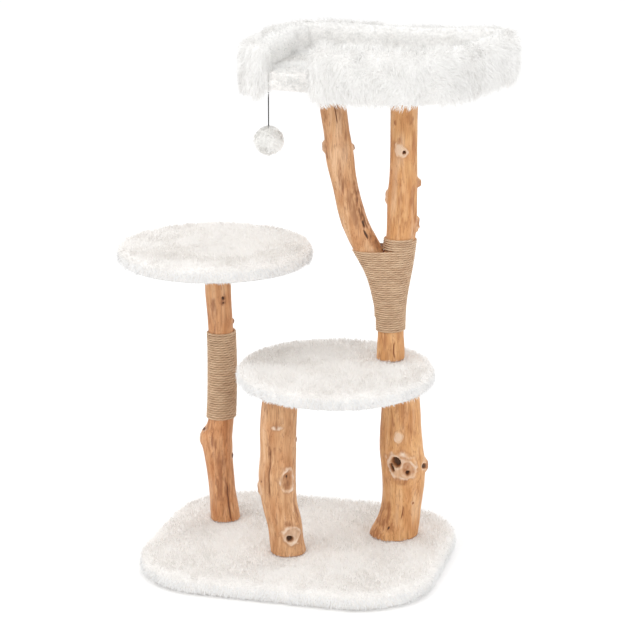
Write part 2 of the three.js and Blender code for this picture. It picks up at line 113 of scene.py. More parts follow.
def set_coordinates(mesh, points):
    mesh.vertices.foreach_set("co", np.ravel(points))
    mesh.update()


def vertex_normals(mesh):
    flat = np.empty(len(mesh.vertices) * 3)
    mesh.vertex_normals.foreach_get("vector", flat)
    return flat.reshape(-1, 3)


def ring_faces(rings, around):
    """Quads of a tube of level rings, without its ends."""
    faces = []
    for ring, spot in itertools.product(range(rings - 1), range(around)):
        low = ring * around
        turned = (spot + 1) % around
        faces.append((low + spot, low + turned, low + around + turned, low + around + spot))
    return faces


def tube_faces(rings, around):
    ends = [tuple(reversed(range(around))), tuple(range((rings - 1) * around, rings * around))]
    return ring_faces(rings, around) + ends


def add_attribute(piece, name, values):
    attribute = piece.data.attributes.new(name, "FLOAT", "POINT")
    attribute.data.foreach_set("value", np.clip(values, 0, 1).astype(np.float32))


def apply_modifiers(piece):
    """Bakes the piece's modifiers into its mesh."""
    depsgraph = bpy.context.evaluated_depsgraph_get()
    mesh = bpy.data.meshes.new_from_object(piece.evaluated_get(depsgraph))
    piece.modifiers.clear()
    piece.data = mesh
    return piece


# ---------------------------------------------------------------- materials

class Shader:
    """A Principled material that grows its node tree one call at a time."""

    def __init__(self, name, colour, roughness, **fixed):
        self.material = bpy.data.materials.new(name)
        self.material.use_nodes = True
        self.tree = self.material.node_tree
        self.surface = self.tree.nodes["Principled BSDF"]
        self.set("Base Color", (*colour, 1))
        self.set("Roughness", roughness)
        for socket, value in fixed.items():
            self.set(socket.replace("_", " "), value)
        self.place = self.add("TexCoord").outputs["Object"]

    def put(self, socket, value):
        if isinstance(value, bpy.types.NodeSocket):
            self.tree.links.new(value, socket)
        else:
            socket.default_value = value

    def set(self, socket, value):
        self.put(self.surface.inputs[socket], value)

    def add(self, kind, inputs=(), **settings):
        made = self.tree.nodes.new("ShaderNode" + kind)
        for key, value in settings.items():
            setattr(made, key, value)
        for key, value in dict(inputs).items():
            self.put(made.inputs[key], value)
        return made

    def stretched(self, x, y, z):
        """The place, scaled so that one pattern cell is x by y by z metres."""
        scale = (1 / x, 1 / y, 1 / z)
        return self.add("Mapping", {"Vector": self.place, "Scale": scale}).outputs["Vector"]

    def noise(self, cell, detail=3, distortion=0):
        vector = self.stretched(*cell)
        inputs = {"Vector": vector, "Scale": 1, "Detail": detail, "Distortion": distortion}
        return self.add("TexNoise", inputs).outputs["Fac"]

    def attribute(self, name):
        return self.add("Attribute", attribute_name=name).outputs["Fac"]

    def ramp(self, value, stops):
        made = self.add("ValToRGB", {"Fac": value})
        elements = made.color_ramp.elements
        while len(elements) < len(stops):
            elements.new(1)
        for element, (position, colour) in zip(elements, stops):
            element.position = position
            element.color = (*colour, 1)
        return made.outputs["Color"]

    def mix(self, factor, first, second, blend="MIX"):
        made = self.add("Mix", data_type="RGBA", blend_type=blend)
        for socket, value in zip((made.inputs[0], made.inputs[6], made.inputs[7]), (factor, first, second)):
            self.put(socket, value)
        return made.outputs[2]

    def bump(self, height, distance, strength=1.0):
        inputs = {"Height": height, "Distance": distance, "Strength": strength}
        if self.surface.inputs["Normal"].is_linked:
            inputs["Normal"] = self.surface.inputs["Normal"].links[0].from_socket
        self.set("Normal", self.add("Bump", inputs).outputs["Normal"])


def blend(first, second, share):
    """A colour between two others."""
    return tuple((1 - share) * a + share * b for a, b in zip(first, second))


def wood_material(name, light, middle, dark):
    """Peeled wood: soft bands along the log, fine grain, brown smears and flecks. The mesh's own attributes
    add brown and dark marks and the pale crust of knots; inside holes and cracks the dark is painted shade."""
    black, white = (0, 0, 0), (1, 1, 1)
    wood = Shader(name, middle, 0.55)
    bands = wood.noise((0.011, 0.011, 0.10), detail=4, distortion=0.8)
    grain = wood.noise((0.0013, 0.0013, 0.030), detail=5)
    smears = wood.noise((0.0060, 0.0060, 0.034), detail=5, distortion=1.2)
    flecks = wood.noise((0.0022, 0.0022, 0.0065), detail=2)
    blotches = wood.noise((0.026, 0.026, 0.050), detail=2)
    low, mid, high = blend(middle, dark, 0.18), blend(middle, light, 0.45), blend(light, white, 0.05)
    colour = wood.ramp(bands, [(0.34, low), (0.50, mid), (0.64, high)])
    colour = wood.mix(wood.ramp(smears, [(0.54, black), (0.70, (0.70,) * 3)]), colour, (*dark, 1))
    colour = wood.mix(wood.ramp(flecks, [(0.64, black), (0.72, (0.60,) * 3)]), colour, (*dark, 1))
    shade = wood.ramp(grain, [(0.32, (0.74, 0.67, 0.60)), (0.52, white)])
    colour = wood.mix(0.8, colour, shade, "MULTIPLY")
    warmth = wood.ramp(blotches, [(0.36, (0.86, 0.74, 0.63)), (0.60, white)])
    colour = wood.mix(0.9, colour, warmth, "MULTIPLY")
    colour = wood.mix(wood.attribute("pale"), colour, (0.80, 0.63, 0.49, 1))
    marks = wood.attribute("dark")
    colour = wood.mix(wood.ramp(marks, [(0, black), (0.55, white)]), colour, (*dark, 1))
    # The darkest step, near black: painted shade inside holes and cracks, and the darkest bark and cut stub
    # ends.
    deepest_with_hole_shade = blend(black, dark, 0.24)
    colour = wood.mix(wood.ramp(marks, [(0.55, black), (1, white)]), colour, (*deepest_with_hole_shade, 1))
    wood.set("Base Color", colour)
    wood.set("Roughness", wood.ramp(grain, [(0.3, (0.74,) * 3), (0.7, (0.52,) * 3)]))
    wood.bump(smears, 0.0010, 0.5)
    wood.bump(grain, 0.0005, 0.6)
    return wood.material


def sisal_material(name):
    sisal = Shader(name, (0.60, 0.41, 0.26), 0.85)
    fibres = sisal.noise((0.0012, 0.0012, 0.0004), detail=3)
    patches = sisal.noise((0.020, 0.020, 0.006), detail=3)
    stops = [(0.3, (0.56, 0.37, 0.235)), (0.5, (0.66, 0.46, 0.30)), (0.7, (0.76, 0.56, 0.38))]
    colour = sisal.ramp(patches, stops)
    shade = sisal.ramp(fibres, [(0.3, (0.62, 0.58, 0.54)), (0.6, (1, 1, 1))])
    colour = sisal.mix(0.7, colour, shade, "MULTIPLY")
    # Painted shade: darker in the grooves between the rope's three strands, where it is thinnest.
    painted_groove_shade = sisal.ramp(sisal.attribute("painted_groove_shade"), [(0.45, (1, 1, 1)), (1.0, (0.66, 0.59, 0.52))])
    sisal.set("Base Color", sisal.mix(1.0, colour, painted_groove_shade, "MULTIPLY"))
    sisal.bump(fibres, 0.0005, 0.7)
    return sisal.material


def plush_material(name, colour):
    """The backing under the pile: nearly the pile's own colour, with painted shade that makes it
    a little darker between the tufts.
    """
    plush = Shader(name, colour, 0.95, Sheen_Weight=0.25, Sheen_Roughness=0.5)
    tufts = plush.noise((0.0035, 0.0035, 0.0035), detail=3)
    clouds = plush.noise((0.05, 0.05, 0.05), detail=2)
    # Painted shade and highlight: darker in the bump's dips between tufts, lighter on the tufts.
    shadow = tuple(0.94 * value for value in colour)
    bright = tuple(min(1.0, 1.05 * value) for value in colour)
    painted_tuft_shade = plush.ramp(tufts, [(0.35, shadow), (0.6, bright)])
    soft = plush.ramp(clouds, [(0.35, (0.97, 0.965, 0.96)), (0.6, (1, 1, 1))])
    plush.set("Base Color", plush.mix(1.0, painted_tuft_shade, soft, "MULTIPLY"))
    plush.bump(tufts, 0.002, 0.6)
    return plush.material


def pile_material(name, colour):
    """The fur itself. Its look comes from the strands' shape, so it holds one colour."""
    return Shader(name, colour, 0.8, Sheen_Weight=0.3, Sheen_Roughness=0.4, Specular_IOR_Level=0.2).material


def grainy_material(name, colour, roughness, cell, stops, height, strength):
    """One fine noise that both colours the surface and roughens it."""
    look = Shader(name, colour, roughness)
    grain = look.noise(cell, detail=4)
    look.set("Base Color", look.ramp(grain, stops))
    look.bump(grain, height, strength)
    return look.material


def steel_material(name):
    steel = Shader(name, (0.62, 0.62, 0.60), 0.34, Metallic=1.0)
    wear = steel.noise((0.002, 0.002, 0.004), detail=4)
    steel.set("Roughness", steel.ramp(wear, [(0.3, (0.24,) * 3), (0.7, (0.46,) * 3)]))
    steel.set("Base Color", steel.ramp(wear, [(0.3, (0.52, 0.52, 0.50)), (0.7, (0.70, 0.70, 0.68))]))
    return steel.material


def cord_material(name):
    cord = Shader(name, (0.05, 0.05, 0.055), 0.8)
    inputs = {"Vector": cord.stretched(0.004, 0.004, 0.004), "Scale": 1, "Distortion": 2}
    braid = cord.add("TexWave", inputs, bands_direction="DIAGONAL").outputs["Fac"]
    cord.set("Base Color", cord.ramp(braid, [(0.3, (0.03, 0.03, 0.032)), (0.7, (0.11, 0.11, 0.115))]))
    cord.bump(braid, 0.0003, 0.8)
    return cord.material


REDDISH = wood_material("peeled_wood_reddish", light=(0.70, 0.375, 0.175), middle=(0.59, 0.275, 0.115),
                        dark=(0.31, 0.118, 0.046))
TAN = wood_material("peeled_wood_tan", light=(0.73, 0.435, 0.232), middle=(0.60, 0.318, 0.148),
                    dark=(0.33, 0.143, 0.058))
GOLDEN = wood_material("peeled_wood_golden", light=(0.76, 0.43, 0.192), middle=(0.66, 0.345, 0.138),
                       dark=(0.39, 0.156, 0.055))
SISAL = sisal_material("sisal_rope")
PLUSH = plush_material("plush_backing", (0.86, 0.84, 0.82))
LONG_PLUSH = plush_material("long_plush_backing", (0.86, 0.852, 0.84))
PILE = pile_material("plush_pile", (0.885, 0.870, 0.853))
LONG_PILE = pile_material("long_plush_pile", (0.885, 0.880, 0.870))
# A darker copy of the pile for steep sides: painted shade.
SIDE_PILE_PAINTED_SHADE = pile_material("plush_side_pile_painted_shade", (0.835, 0.835, 0.835))
# A darker copy of the pile for the bed's inside and its pad: painted shade.
NAP_PAINTED_SHADE = pile_material("bed_inner_nap_painted_shade", (0.805, 0.805, 0.795))
# A lighter copy of the pile for the pompom: painted light against the shade between its dense strands and
# under the bed.
POMPOM_PILE_PAINTED_LIGHT = pile_material("pompom_pile_painted_light", (0.95, 0.945, 0.93))
LINING = grainy_material("nonwoven_lining", (0.62, 0.62, 0.60), 0.9, (0.0012, 0.0012, 0.0012),
                         [(0.35, (0.50, 0.50, 0.48)), (0.62, (0.72, 0.72, 0.70))], 0.0004, 0.5)
CHIPBOARD = grainy_material("chipboard", (0.48, 0.33, 0.19), 0.85, (0.004, 0.004, 0.002),
                            [(0.3, (0.30, 0.19, 0.10)), (0.5, (0.50, 0.35, 0.20)), (0.7, (0.66, 0.50, 0.32))],
                            0.0005, 0.6)
STEEL = steel_material("zinc_plated_steel")
CORD = cord_material("dark_cord")


# ---------------------------------------------------------------- camera and cord

def make_camera():
    data = bpy.data.cameras.new("camera")
    data.sensor_width = 36
    data.lens = 123.2
    data.clip_end = 100
    camera = link(bpy.data.objects.new("camera", data))
    camera.location = (1.034, -3.731, 1.560)
    camera.rotation_euler = (math.radians(74.5), 0, math.radians(15.1))
    bpy.context.scene.camera = camera


def curve_object(name, points, radius, material, cyclic=False):
    data = bpy.data.curves.new(name, "CURVE")
    data.dimensions = "3D"
    data.bevel_depth = radius
    data.bevel_resolution = 3
    data.materials.append(material)
    spline = data.splines.new("POLY")
    spline.points.add(len(points) - 1)
    for spot, point in zip(spline.points, points):
        spot.co = (*point, 1)
    spline.use_cyclic_u = cyclic
    return link(bpy.data.objects.new(name, data))


def make_toy_cord():
    """The cord from its knot under the wire loop down to the tie in the middle of the pompom."""
    low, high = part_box("toy_cord")
    pompom_low, pompom_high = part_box("toy_pompom")
    x, y = (low.x + high.x) / 2, (low.y + high.y) / 2
    start, end = high.z, (pompom_low.z + pompom_high.z) / 2
    heights = np.linspace(start, end, 18)
    path = [(x, y, height) for height in heights]
    diameter = high.x - low.x
    cord = curve_object("toy_string", path, diameter / 2, CORD)
    return cord, path[0], start - end, diameter


def make_knot():
    """A small overhand knot: a trefoil of the same cord."""
    low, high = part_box("toy_knot")
    centre = (low + high) / 2
    size = (high.x - low.x) / 2 / 3.9
    turns = np.linspace(0, 2 * math.pi, 48, endpoint=False)
    x = np.sin(turns) + 2 * np.sin(2 * turns)
    y = np.cos(turns) - 2 * np.cos(2 * turns)
    points = np.stack([x, y, -np.sin(3 * turns)], axis=1) * size + np.array(centre)
    return curve_object("toy_string_knot", points, 0.9 * size, CORD, cyclic=True)


# ---------------------------------------------------------------- fur

def swirls(roots, normals, large, small, share, seed, step):
    """A smooth direction along the surface at each root: large swirls with a share of small ones."""
    mixed = noise_field(roots, (large,) * 3, seed) + share * noise_field(roots, (small,) * 3, seed + step)
    return along_surface(mixed, normals)


LEAN_SCATTER = 0.16  # how unevenly the strands lean
FLOOR_CLEARANCE = 0.5 * MM  # no strand goes below this height


def triangles_of(mesh):
    mesh.calc_loop_triangles()
    flat = np.empty(len(mesh.loop_triangles) * 3, dtype=np.int32)
    mesh.loop_triangles.foreach_get("vertices", flat)
    return flat.reshape(-1, 3)


def scatter(piece, count, seed, keep=None):
    """Random roots on a piece's surface, even by area, with the surface's direction at each."""
    rng = np.random.default_rng(seed)
    points, normals = coordinates(piece.data), vertex_normals(piece.data)
    triangles = triangles_of(piece.data)
    a, b, c = (points[triangles[:, i]] for i in range(3))
    area = np.linalg.norm(np.cross(b - a, c - a), axis=1)
    if keep is not None:
        middle = (a + b + c) / 3
        facing = unit(np.cross(b - a, c - a))
        area = area * keep(middle, facing)
    picked = rng.choice(len(area), size=count, p=area / area.sum())
    u, v = rng.uniform(size=(2, count, 1))
    over = u + v > 1
    u, v = np.where(over, 1 - u, u), np.where(over, 1 - v, v)
    corners = triangles[picked]
    weights = (1 - u - v, u, v)
    roots = sum(weight * points[corners[:, i]] for i, weight in enumerate(weights))
    facing = sum(weight * normals[corners[:, i]] for i, weight in enumerate(weights))
    return roots, unit(facing)


def gather(tips, roots, clump_size, pull, seed):
    """Moves each strand's tip towards the tip of the strand that leads its tuft."""
    rng = np.random.default_rng(seed)
    leaders = rng.choice(len(roots), size=max(1, len(roots) // clump_size), replace=False)
    tree = KDTree(len(leaders))
    for index, leader in enumerate(leaders):
        tree.insert(roots[leader], index)
    tree.balance()
    nearest = leaders[[tree.find(root)[1] for root in roots]]
    return tips + pull * (tips[nearest] - tips)


def fur(name, roots, normals, comb, length, width, material, seed, clump_size=6, pull=0.6, lift=0.7,
        levels=3):
    """One mesh of tapered, curved strands. comb is where the tips lean; length has one number per strand."""
    rng = np.random.default_rng(seed)
    count = len(roots)
    length = length * rng.uniform(0.75, 1.15, count)
    jitter = rng.normal(0, LEAN_SCATTER, (count, 3))
    start = unit(normals * lift + comb * 0.5 + jitter)
    bend = unit(comb + normals * 0.12 + 0.6 * jitter)
    tips = gather(roots + length[:, None] * unit(start + bend) * 0.92, roots, clump_size, pull, seed + 1)
    across = unit(np.cross(normals, tips - roots) + 0.2 * rng.normal(0, 1, (count, 3)) * length[:, None])
    inward = np.sum(np.cross(across, tips - roots) * normals, axis=1) < 0
    across = np.where(inward[:, None], -across, across)
    elbow = roots + start * length[:, None] * 0.5
    rows = []
    for level in range(levels):
        t = level / levels
        middle = (1 - t) ** 2 * roots + 2 * t * (1 - t) * elbow + t * t * tips
        half = 0.5 * width * (1 - t) ** 0.6 * across
        rows += [middle - half, middle + half]
    rows.append(tips)
    points = np.stack(rows, axis=1)
    points[:, :, 2] = np.maximum(points[:, :, 2], FLOOR_CLEARANCE)
    per_strand = points.shape[1]
    pattern = [(2 * k, 2 * k + 1, 2 * k + 3, 2 * k + 2) for k in range(levels - 1)]
    base = np.arange(count)[:, None] * per_strand
    quads = (base[:, None] + np.array(pattern)[None]).reshape(-1, 4) if pattern else np.empty((0, 4), int)
    last = base + np.array([[per_strand - 3, per_strand - 2, per_strand - 1]])
    return mesh_object(name, points.reshape(-1, 3), quads.tolist() + last.tolist(), material)


# ---------------------------------------------------------------- logs

def slice_centre(edges, height):
    """The middle of a CAD node's level cross-section at a height."""
    a, b = edges[:, 0], edges[:, 1]
    crossing = (a[:, 2] - height) * (b[:, 2] - height) < 0
    a, b = a[crossing], b[crossing]
    part = (height - a[:, 2]) / (b[:, 2] - a[:, 2])
    cut = a + part[:, None] * (b - a)
    return (cut.min(axis=0) + cut.max(axis=0)) / 2


def node_edges(node):
    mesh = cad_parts[node].data
    flat = np.empty(len(mesh.edges) * 2, dtype=np.int32)
    mesh.edges.foreach_get("vertices", flat)
    return coordinates(mesh)[flat.reshape(-1, 2)]


def node_bvh(node):
    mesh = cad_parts[node].data
    return BVHTree.FromPolygons(coordinates(mesh).tolist(), triangles_of(mesh).tolist())


def reach(bvh, centre, direction, far=0.3):
    """How far a CAD surface lies from a centre in a level direction, seen from outside."""
    outside = Vector(centre) + Vector(direction) * far
    hit = bvh.ray_cast(outside, -Vector(direction), far)[0]
    return None if hit is None else (hit - Vector(centre)).length


def smoothed(values, sigma, axis, wrap):
    """A Gaussian average of a grid along one axis."""
    reach_out = int(3 * sigma) + 1
    offsets = np.arange(-reach_out, reach_out + 1)
    weights = np.exp(-0.5 * (offsets / sigma) ** 2)
    padding = [(0, 0), (0, 0)]
    padding[axis] = (reach_out, reach_out)
    padded = np.pad(values, padding, mode="wrap" if wrap else "edge")
    count = values.shape[axis]
    total = sum(weight * np.take(padded, np.arange(count) + reach_out + offset, axis=axis)
                for weight, offset in zip(weights, offsets))
    return total / weights.sum()


def log_grid(node, step, around):
    """Level rings over a CAD log: their centres, angles and smoothed radii."""
    low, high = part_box(node)
    levels = np.linspace(low.z, high.z, int((high.z - low.z) / step) + 1)
    angles = np.linspace(0, 2 * math.pi, around, endpoint=False)
    edges, bvh = node_edges(node), node_bvh(node)
    inside = np.clip(levels, low.z + MM, high.z - MM)
    centres = np.array([slice_centre(edges, height) for height in inside])
    radii = np.zeros((len(levels), around))
    for row, (centre, height) in enumerate(zip(centres, inside)):
        hits = [reach(bvh, centre, (math.cos(a), math.sin(a), 0)) for a in angles]
        known = [hit for hit in hits if hit is not None]
        radii[row] = [np.mean(known) if hit is None else hit for hit in hits]
    radii = smoothed(radii, 0.55 * around / 14, axis=1, wrap=True)
    radii = smoothed(radii, 0.010 / step, axis=0, wrap=False)
    centres[:, :2] = smoothed(centres[:, :2], 0.008 / step, axis=0, wrap=False)
    centres[:, 2] = levels
    return centres, angles, radii


def log_piece(node, material, seed, ridges=0.7, step=0.0020, around=150):
    """A detailed log over its CAD node, with its marks."""
    centres, angles, radii = log_grid(node, step, around)
    out = np.stack([np.cos(angles), np.sin(angles), 0 * angles], axis=1)
    smooth = centres[:, None] + radii[:, :, None] * out[None]
    flat = smooth.reshape(-1, 3)
    push = 1.1 * MM * ridges * lattice_noise(flat, (0.016, 0.016, 0.11), seed)
    push += 0.8 * MM * lattice_noise(flat, (0.035, 0.035, 0.045), seed + 1)
    push += 0.35 * MM * ridges * lattice_noise(flat, (0.005, 0.005, 0.06), seed + 2)
    push += 0.18 * MM * lattice_noise(flat, (0.0025, 0.0025, 0.012), seed + 3)
    dark = 0.35 * fade(lattice_noise(flat, (0.010, 0.010, 0.09), seed + 4), 0.45, 0.95)
    pale = 0.25 * fade(lattice_noise(flat, (0.014, 0.014, 0.10), seed + 5), 0.3, 0.9)
    height = flat[:, 2]
    for mark in MARKS[node]:
        side = math.radians(mark["side"])
        turn = (np.tile(angles, len(centres)) - side + math.pi) % (2 * math.pi) - math.pi
        moved, darker_with_hole_shade, paler = mark["kind"](turn * radii.ravel(), height - mark["height"] * MM, mark, flat)
        push += moved
        dark = np.maximum(dark, darker_with_hole_shade)
        pale = np.maximum(pale, paler)
    shape = radii.ravel() + push
    points = np.repeat(centres, len(angles), axis=0) + shape[:, None] * np.tile(out, (len(centres), 1))
    piece = mesh_object(f"{node}_wood", points, tube_faces(len(centres), len(angles)), material)
    # The dark attribute: brown marks, and painted shade inside holes and cracks.
    add_attribute(piece, "dark", dark)
    add_attribute(piece, "pale", pale)
    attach(piece, "tree")
    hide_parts(node)
    return piece


# Marks on a log. Each takes the distance round the log and along it from the mark's middle, in metres, and
# returns how far the surface moves out, how dark it turns and how pale. Sizes in a mark are in millimetres.
# In holes and cracks the darkness is painted shade.

def oval_of(around, along, mark, flat, rough=0.24):
    """How far out in a mark's ragged oval each point is: 0 in the middle and 1 on the edge."""
    tilt = math.radians(mark.get("tilt", 0))
    across = around * math.cos(tilt) + along * math.sin(tilt)
    up = along * math.cos(tilt) - around * math.sin(tilt)
    seed = mark["height"]
    ragged = lattice_noise(flat, (0.012,) * 3, seed) + 0.4 * lattice_noise(flat, (0.004,) * 3, seed + 1)
    return np.hypot(across / mark["wide"], up / mark["tall"]) / MM * (1 + rough * ragged)


def bell(value, middle, width):
    return np.exp(-(((value - middle) / width) ** 2))


def knot(around, along, mark, flat):
    """A grown-over branch: a swelling, a thin pale crust round it, and a sunk, streaky brown middle."""
    oval = oval_of(around, along, mark, flat)
    broken = 0.65 + 0.70 * lattice_noise(flat, (0.008,) * 3, mark["height"] + 5)
    streaks = lattice_noise(flat, (0.003, 0.003, 0.006), mark["height"] + 6)
    rise, depth = mark.get("rise", 2) * MM, mark.get("depth", 2) * MM
    crust = bell(oval, 1, 0.15) * broken
    inner = 1 - fade(oval, 0.70, 0.98)
    moved = 0.7 * rise * bell(oval, 0, 1.6) + 0.5 * rise * crust - depth * inner * (0.7 + 0.4 * streaks)
    shade = mark.get("shade", 0.4) * inner * (0.65 + 0.6 * streaks) + 0.22 * bell(oval, 1.25, 0.10)
    return moved, shade, np.maximum(0.95 * crust, mark.get("pale", 0) * inner)


def hollow(around, along, mark, flat):
    """A sunk hole with a ragged edge, painted dark inside: painted shade."""
    oval = oval_of(around, along, mark, flat, rough=0.26)
    # How sunk each point is, which is also its painted shade.
    sunk_with_painted_shade = 1 - fade(oval, 0.75, 1.08)
    return -mark.get("depth", 9) * MM * sunk_with_painted_shade, sunk_with_painted_shade, mark.get("ring", 0.8) * bell(oval, 1.25, 0.2)


def stub(around, along, mark, flat):
    """A cut side branch: a short round boss with a dark, rough end."""
    oval = oval_of(around, along, mark, flat)
    boss = 1 - fade(oval, 0.60, 1.35)
    rough = lattice_noise(flat, (0.0025,) * 3, mark["height"] + 9)
    dip = 0.7 * MM * (1 - fade(oval, 0.3, 0.6))
    moved = mark.get("rise", 3) * MM * boss - dip + 0.35 * MM * rough * boss
    return moved, mark.get("shade", 0.7) * (1 - fade(oval, 0.45, 0.85)), 0.4 * bell(oval, 1, 0.2)


def crack(around, along, mark, flat):
    """A narrow split along the grain, sunk and painted dark inside: painted shade."""
    bend = 1.2 * MM * lattice_noise(flat * np.array([0, 0, 1]), (1, 1, 0.012), mark["height"] + 3)
    within = 1 - fade(np.abs(along) / MM, 0.6 * mark["tall"], mark["tall"])
    narrow = 1 - fade(np.abs(around - bend) / MM, 0.3 * mark["wide"], mark["wide"])
    # The split's darkness is painted shade.
    return -2.2 * MM * within * narrow, 0.8 * within * narrow, 0 * along


def bark(around, along, mark, flat):
    """Rough brown bark left in the wood."""
    oval = oval_of(around, along, mark, flat, rough=0.3)
    area = 1 - fade(oval, 0.6, 1.1)
    rough = lattice_noise(flat, (0.004, 0.004, 0.020), 31)
    rough = rough + 0.4 * lattice_noise(flat, (0.002, 0.002, 0.006), 32)
    return 0.7 * MM * rough * area, mark.get("shade", 0.6) * area * fade(rough, -0.5, 0.8), 0 * along


def feature(kind, height, side, wide, tall, **more):
    """A mark at a height in millimetres, side degrees round from the front, wide and tall in millimetres."""
    return dict(kind=kind, height=height, side=FRONT + side, wide=wide, tall=tall, **more)


MARKS = {
    "left_post": [
        feature(stub, 223, -77, 8, 5, tilt=20, rise=2, shade=1.0),
        feature(knot, 206, 251, 12, 15, rise=3, depth=0.5, shade=0.2),
        feature(bark, 486, 22, 7, 10, shade=0.7),
        feature(hollow, 491, 24, 3.2, 4.5, depth=2, ring=0),
        feature(hollow, 482, 23, 2.2, 3, depth=1.5, ring=0),
        feature(stub, 442, 74, 4, 5.5, rise=4, shade=1.0),
        feature(stub, 171, 66, 3.6, 6, shade=1.0),
        feature(bark, 205, -10, 9, 24, shade=0.5),
        feature(bark, 130, 12, 14, 70, shade=0.45),
        feature(bark, 470, -25, 7, 26, shade=0.45),
        feature(crack, 76, 29, 2.2, 48),
        feature(crack, 536, -20, 1.3, 16),
        feature(knot, 132, 145, 8, 11),
        feature(hollow, 134, 145, 3, 5, depth=5),
        feature(knot, 500, 185, 8, 12, depth=1.5),
    ],
    "front_log": [
        feature(knot, 188, 30, 13, 22, tilt=-6, rise=3, depth=2.5, shade=0.5),
        feature(bark, 188, 31, 9, 16, shade=0.7),
        feature(hollow, 196, 30, 2, 4, depth=2, ring=0),
        feature(knot, 80, 24, 15, 18, tilt=-30, rise=4, depth=1, shade=0.2, pale=0.45),
        feature(hollow, 72, 15, 7.5, 7, depth=8),
        feature(bark, 104, 18, 9, 7),
        feature(knot, 292, -4, 9, 4.5, rise=2.5, depth=-1, shade=0, pale=0.8),
        feature(bark, 300, 4, 10, 12, shade=0.55),
        feature(bark, 246, -8, 12, 9, shade=0.5),
        feature(stub, 164, -80, 8, 12, rise=3.5, shade=0.4),
        feature(stub, 262, 72, 5, 6, rise=2, shade=0.6),
        feature(hollow, 181, -62, 1.8, 2.2, depth=1, ring=0),
        feature(crack, 205, -27, 1.6, 60),
        feature(bark, 210, -28, 6, 75),
        feature(bark, 130, 62, 8, 34, shade=0.5),
        feature(knot, 240, 155, 13, 17),
        feature(hollow, 238, 157, 5, 7, depth=6),
        feature(bark, 60, 225, 20, 30),
    ],
    "right_log": [
        feature(knot, 187, -8, 26, 25, rise=4, depth=0, shade=0.1, pale=0.35),
        feature(knot, 182, 8, 13, 17, tilt=24, depth=3, shade=0.45, pale=0.2),
        feature(hollow, 196, -20, 10, 12, tilt=25, depth=13),
        feature(hollow, 182, -33, 4, 9, tilt=28, ring=0.5),
        feature(hollow, 174, 8, 4.5, 5, depth=7, ring=0.3),
        feature(bark, 156, -10, 17, 9, shade=0.65),
        feature(knot, 245, -8, 8, 10, depth=-0.5, shade=0.05, pale=0.6),
        feature(bark, 229, -14, 4, 5, shade=0.7),
        feature(stub, 182, 67, 11, 13, rise=5, shade=0.5),
        feature(hollow, 183, 55, 4.5, 6, depth=3),
        feature(stub, 110, 30, 3, 4, rise=1.2, shade=0.8),
        feature(bark, 66, -52, 32, 44),
        feature(hollow, 60, -26, 2.2, 4, depth=1.5, ring=0),
        feature(bark, 300, 6, 8, 26, shade=0.4),
        feature(crack, 92, 2, 1.4, 14),
        feature(knot, 260, 170, 14, 18),
        feature(hollow, 258, 168, 6, 8, depth=8),
        feature(bark, 120, 185, 14, 40),
    ],
    "trunk": [
        feature(knot, 795, -16, 9, 15, tilt=24, depth=-0.5, shade=0, pale=0.65),
        feature(hollow, 791, -1, 4.0, 4.2, depth=6, ring=0.9),
        feature(bark, 812, -24, 5, 7, shade=0.55),
        feature(bark, 846, -42, 5, 6),
        feature(bark, 852, 24, 10, 12),
        feature(bark, 730, -17, 4, 5, shade=0.9),
        feature(stub, 730, 81, 5.5, 8, rise=7, shade=0.6),
        feature(stub, 703, -97, 6, 12, rise=4, shade=0.4),
        feature(stub, 654, 79, 7.5, 10, rise=5),
        feature(stub, 642, 89, 5, 6, rise=4, shade=0.8),
        feature(crack, 412, 14, 1.8, 18),
        feature(bark, 420, -14, 12, 26, shade=0.3),
        feature(bark, 680, -20, 12, 60, shade=0.45),
        feature(bark, 700, 50, 10, 110, shade=0.5),
        feature(knot, 760, 170, 10, 13),
        feature(hollow, 758, 171, 4, 5, depth=6),
    ],
    "branch": [
        feature(stub, 797, -97, 6, 12, rise=5, shade=0.6),
        feature(bark, 794, -60, 8, 20, shade=0.8),
        feature(stub, 798, 77, 5, 6, rise=4, shade=0.8),
        feature(bark, 735, -8, 6, 40, shade=0.65),
        feature(bark, 690, 8, 8, 50, shade=0.5),
        feature(bark, 670, 52, 12, 80, shade=0.8),
        feature(hollow, 655, 40, 3, 8, depth=1.5, ring=0),
        feature(hollow, 636, 30, 3, 9, depth=1.5, ring=0),
        feature(bark, 850, 34, 9, 50, shade=0.5),
        feature(crack, 862, 10, 1.4, 20),
        feature(knot, 730, 185, 9, 12),
        feature(hollow, 729, 183, 3.5, 5, depth=5),
    ],
}


def make_logs():
    log_piece("left_post", REDDISH, seed=11)
    log_piece("front_log", TAN, seed=23, ridges=1.3, step=0.0017, around=190)
    log_piece("right_log", GOLDEN, seed=37, ridges=0.9, step=0.0017, around=210)
    log_piece("trunk", GOLDEN, seed=41)
    log_piece("branch", TAN, seed=53)


# ---------------------------------------------------------------- rope wraps

def even_points(path, step):
    """Points at even distances along a path, and those distances."""
    steps = np.linalg.norm(np.diff(path, axis=0), axis=1)
    travelled = np.concatenate([[0], np.cumsum(steps)])
    distances = np.linspace(0, travelled[-1], int(travelled[-1] / step))
    return np.stack([np.interp(distances, travelled, path[:, i]) for i in range(3)], axis=1), distances


